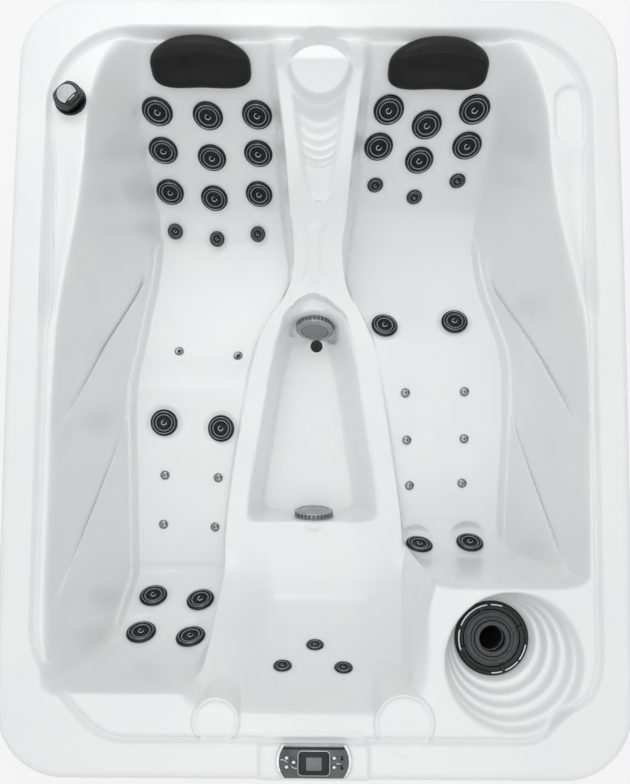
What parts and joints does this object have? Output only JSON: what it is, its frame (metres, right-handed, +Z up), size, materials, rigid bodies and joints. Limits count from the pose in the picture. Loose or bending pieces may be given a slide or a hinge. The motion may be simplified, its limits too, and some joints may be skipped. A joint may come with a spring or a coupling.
{
  "type": "acrylic hot tub",
  "caption": "Rectangular white acrylic hot tub with two loungers, a near seat and a footwell, round black jets, a rim panel, pillows and a skimmer filter.",
  "frame": {"origin": "centre of the underside of the base tray, on the floor", "axes": "+Z up; +Y along the length, towards the pillow end; +X across, towards the side with the filter bowl"},
  "size_m": [1.7096, 2.16, 0.8293],
  "materials": {
    "acrylic": "polished white acrylic",
    "black_plastic": "gloss black",
    "chrome": "polished",
    "grey_plastic": "satin dark grey",
    "button": "satin",
    "pillow_foam": "matte skinned foam",
    "white_pipe": "satin",
    "filter_paper": "pleated polyester",
    "cabinet": "matte dark grey",
    "timber": "planed, treated",
    "steel": "brushed",
    "machine_black": "matte"
  },
  "bodies": {
    "tub": {"shell": "acrylic", "left_lumbar_jets": "black_plastic", "right_lumbar_jets": "black_plastic", "seat_back_jets": "black_plastic", "left_air_injectors": "chrome", "right_air_injectors": "chrome", "far_suction_cover": "grey_plastic", "near_suction_cover": "grey_plastic", "floor_drain": "black_plastic", "skimmer_ring": "black_plastic", "skimmer_bucket": "white_pipe", "diverter_valve": "black_plastic", "control_panel": "black_plastic", "left_pillow": "pillow_foam", "right_pillow": "pillow_foam", "base_tray": "cabinet", "cabinet_skirt": "cabinet", "frame": "timber", "circulation_pump": "machine_black", "heater_tube": "steel", "control_box": "machine_black", "air_blower": "machine_black", "left_water_line": "white_pipe", "right_water_line": "white_pipe"},
    "left_back_jet_1": {"left_back_jet_1": "black_plastic"},
    "left_back_jet_2": {"left_back_jet_2": "black_plastic"},
    "left_back_jet_3": {"left_back_jet_3": "black_plastic"},
    "left_back_jet_4": {"left_back_jet_4": "black_plastic"},
    "left_back_jet_5": {"left_back_jet_5": "black_plastic"},
    "left_back_jet_6": {"left_back_jet_6": "black_plastic"},
    "left_back_jet_7": {"left_back_jet_7": "black_plastic"},
    "left_back_jet_8": {"left_back_jet_8": "black_plastic"},
    "left_back_jet_9": {"left_back_jet_9": "black_plastic"},
    "right_back_jet_1": {"right_back_jet_1": "black_plastic"},
    "right_back_jet_2": {"right_back_jet_2": "black_plastic"},
    "right_back_jet_3": {"right_back_jet_3": "black_plastic"},
    "right_back_jet_4": {"right_back_jet_4": "black_plastic"},
    "right_back_jet_5": {"right_back_jet_5": "black_plastic"},
    "right_back_jet_6": {"right_back_jet_6": "black_plastic"},
    "right_thigh_jet_1": {"right_thigh_jet_1": "black_plastic"},
    "right_thigh_jet_2": {"right_thigh_jet_2": "black_plastic"},
    "left_calf_jet_1": {"left_calf_jet_1": "black_plastic"},
    "left_calf_jet_2": {"left_calf_jet_2": "black_plastic"},
    "right_foot_jet_1": {"right_foot_jet_1": "black_plastic"},
    "right_foot_jet_2": {"right_foot_jet_2": "black_plastic"},
    "left_foot_jet_1": {"left_foot_jet_1": "black_plastic"},
    "left_foot_jet_2": {"left_foot_jet_2": "black_plastic"},
    "left_foot_jet_3": {"left_foot_jet_3": "black_plastic"},
    "left_foot_jet_4": {"left_foot_jet_4": "black_plastic"},
    "diverter_knob": {"diverter_knob": "black_plastic"},
    "filter": {"filter_lid": "black_plastic", "filter_cartridge": "filter_paper"},
    "panel_button_1": {"panel_button_1": "button"},
    "panel_button_2": {"panel_button_2": "button"},
    "panel_button_3": {"panel_button_3": "button"},
    "panel_button_4": {"panel_button_4": "button"},
    "panel_button_5": {"panel_button_5": "button"},
    "panel_button_6": {"panel_button_6": "button"},
    "panel_button_7": {"panel_button_7": "button"},
    "access_panel": {"access_panel": "cabinet"}
  },
  "joints": [
    {"name": "left_back_jet_1_turn", "type": "hinge", "parent": "tub", "child": "left_back_jet_1", "pos_m": [-0.50421, 0.8694, 0.58768], "axis": [0.0339, -0.9216, 0.3866], "range_deg": [0, 150]},
    {"name": "left_back_jet_2_turn", "type": "hinge", "parent": "tub", "child": "left_back_jet_2", "pos_m": [-0.34865, 0.86584, 0.57312], "axis": [-0.0021, -0.9258, 0.3781], "range_deg": [0, 150]},
    {"name": "left_back_jet_3_turn", "type": "hinge", "parent": "tub", "child": "left_back_jet_3", "pos_m": [-0.19308, 0.86551, 0.58014], "axis": [-0.0406, -0.9193, 0.3916], "range_deg": [0, 150]},
    {"name": "left_back_jet_4_turn", "type": "hinge", "parent": "tub", "child": "left_back_jet_4", "pos_m": [-0.51477, 0.81518, 0.46736], "axis": [0.0454, -0.9014, 0.4305], "range_deg": [0, 150]},
    {"name": "left_back_jet_5_turn", "type": "hinge", "parent": "tub", "child": "left_back_jet_5", "pos_m": [-0.35735, 0.80676, 0.44196], "axis": [-0.0014, -0.8983, 0.4393], "range_deg": [0, 150]},
    {"name": "left_back_jet_6_turn", "type": "hinge", "parent": "tub", "child": "left_back_jet_6", "pos_m": [-0.2001, 0.8114, 0.46038], "axis": [-0.0482, -0.8992, 0.4349], "range_deg": [0, 150]},
    {"name": "left_back_jet_7_turn", "type": "hinge", "parent": "tub", "child": "left_back_jet_7", "pos_m": [-0.5228, 0.7438, 0.33313], "axis": [0.054, -0.847, 0.5289], "range_deg": [0, 150]},
    {"name": "left_back_jet_8_turn", "type": "hinge", "parent": "tub", "child": "left_back_jet_8", "pos_m": [-0.37019, 0.73418, 0.31034], "axis": [0.0026, -0.8289, 0.5593], "range_deg": [0, 150]},
    {"name": "left_back_jet_9_turn", "type": "hinge", "parent": "tub", "child": "left_back_jet_9", "pos_m": [-0.20888, 0.74131, 0.32869], "axis": [-0.0528, -0.8431, 0.5351], "range_deg": [0, 150]},
    {"name": "right_back_jet_1_turn", "type": "hinge", "parent": "tub", "child": "right_back_jet_1", "pos_m": [0.21835, 0.87145, 0.60073], "axis": [0.0329, -0.9043, 0.4256], "range_deg": [0, 150]},
    {"name": "right_back_jet_2_turn", "type": "hinge", "parent": "tub", "child": "right_back_jet_2", "pos_m": [0.48435, 0.87286, 0.60287], "axis": [-0.0291, -0.9065, 0.4212], "range_deg": [0, 150]},
    {"name": "right_back_jet_3_turn", "type": "hinge", "parent": "tub", "child": "right_back_jet_3", "pos_m": [0.34442, 0.85298, 0.55551], "axis": [0.0044, -0.9063, 0.4227], "range_deg": [0, 150]},
    {"name": "right_back_jet_4_turn", "type": "hinge", "parent": "tub", "child": "right_back_jet_4", "pos_m": [0.19815, 0.81799, 0.4933], "axis": [0.0531, -0.891, 0.451], "range_deg": [0, 150]},
    {"name": "right_back_jet_5_turn", "type": "hinge", "parent": "tub", "child": "right_back_jet_5", "pos_m": [0.48697, 0.82166, 0.49658], "axis": [-0.0401, -0.8935, 0.4472], "range_deg": [0, 150]},
    {"name": "right_back_jet_6_turn", "type": "hinge", "parent": "tub", "child": "right_back_jet_6", "pos_m": [0.33885, 0.79963, 0.44806], "axis": [0.008, -0.8886, 0.4586], "range_deg": [0, 150]},
    {"name": "right_thigh_jet_1_turn", "type": "hinge", "parent": "tub", "child": "right_thigh_jet_1", "pos_m": [0.2426, 0.28814, 0.27639], "axis": [0.0941, 0.3395, 0.9359], "range_deg": [0, 150]},
    {"name": "right_thigh_jet_2_turn", "type": "hinge", "parent": "tub", "child": "right_thigh_jet_2", "pos_m": [0.49678, 0.30748, 0.26424], "axis": [-0.0513, 0.291, 0.9553], "range_deg": [0, 150]},
    {"name": "left_calf_jet_1_turn", "type": "hinge", "parent": "tub", "child": "left_calf_jet_1", "pos_m": [-0.5408, -0.06955, 0.2778], "axis": [0.059, -0.1384, 0.9886], "range_deg": [0, 150]},
    {"name": "left_calf_jet_2_turn", "type": "hinge", "parent": "tub", "child": "left_calf_jet_2", "pos_m": [-0.33809, -0.0891, 0.27966], "axis": [-0.1024, -0.1187, 0.9876], "range_deg": [0, 150]},
    {"name": "right_foot_jet_1_turn", "type": "hinge", "parent": "tub", "child": "right_foot_jet_1", "pos_m": [0.36665, -0.49237, 0.26875], "axis": [0.0608, 0.8583, 0.5096], "range_deg": [0, 150]},
    {"name": "right_foot_jet_2_turn", "type": "hinge", "parent": "tub", "child": "right_foot_jet_2", "pos_m": [0.54925, -0.486, 0.25107], "axis": [-0.0275, 0.7956, 0.6051], "range_deg": [0, 150]},
    {"name": "left_foot_jet_1_turn", "type": "hinge", "parent": "tub", "child": "left_foot_jet_1", "pos_m": [-0.56294, -0.67543, 0.28493], "axis": [0.04, 0.7857, 0.6173], "range_deg": [0, 150]},
    {"name": "left_foot_jet_2_turn", "type": "hinge", "parent": "tub", "child": "left_foot_jet_2", "pos_m": [-0.39631, -0.68537, 0.30193], "axis": [-0.0722, 0.7856, 0.6145], "range_deg": [0, 150]},
    {"name": "left_foot_jet_3_turn", "type": "hinge", "parent": "tub", "child": "left_foot_jet_3", "pos_m": [-0.5664, -0.77328, 0.41233], "axis": [0.0362, 0.8428, 0.5371], "range_deg": [0, 150]},
    {"name": "left_foot_jet_4_turn", "type": "hinge", "parent": "tub", "child": "left_foot_jet_4", "pos_m": [-0.40121, -0.78181, 0.43102], "axis": [-0.0569, 0.8747, 0.4812], "range_deg": [0, 150]},
    {"name": "diverter_knob_turn", "type": "hinge", "parent": "tub", "child": "diverter_knob", "pos_m": [-0.68597, 0.75902, 0.799], "axis": [0, 0, 1], "range_deg": [0, 180]},
    {"name": "filter_lift", "type": "slide", "parent": "tub", "child": "filter", "axis": [0, 0, 1], "range_m": [0, 0.28]},
    {"name": "panel_button_1_press", "type": "slide", "parent": "tub", "child": "panel_button_1", "axis": [0, 0, -1], "range_m": [0, 0.001], "stiffness_N_per_m": 300},
    {"name": "panel_button_2_press", "type": "slide", "parent": "tub", "child": "panel_button_2", "axis": [0, 0, -1], "range_m": [0, 0.001], "stiffness_N_per_m": 300},
    {"name": "panel_button_3_press", "type": "slide", "parent": "tub", "child": "panel_button_3", "axis": [0, 0, -1], "range_m": [0, 0.001], "stiffness_N_per_m": 300},
    {"name": "panel_button_4_press", "type": "slide", "parent": "tub", "child": "panel_button_4", "axis": [0, 0, -1], "range_m": [0, 0.001], "stiffness_N_per_m": 300},
    {"name": "panel_button_5_press", "type": "slide", "parent": "tub", "child": "panel_button_5", "axis": [0, 0, -1], "range_m": [0, 0.001], "stiffness_N_per_m": 300},
    {"name": "panel_button_6_press", "type": "slide", "parent": "tub", "child": "panel_button_6", "axis": [0, 0, -1], "range_m": [0, 0.001], "stiffness_N_per_m": 300},
    {"name": "panel_button_7_press", "type": "slide", "parent": "tub", "child": "panel_button_7", "axis": [0, 0, -1], "range_m": [0, 0.001], "stiffness_N_per_m": 300},
    {"name": "access_panel_pull", "type": "slide", "parent": "tub", "child": "access_panel", "axis": [0, -1, 0], "range_m": [0, 0.15]}
  ]
}
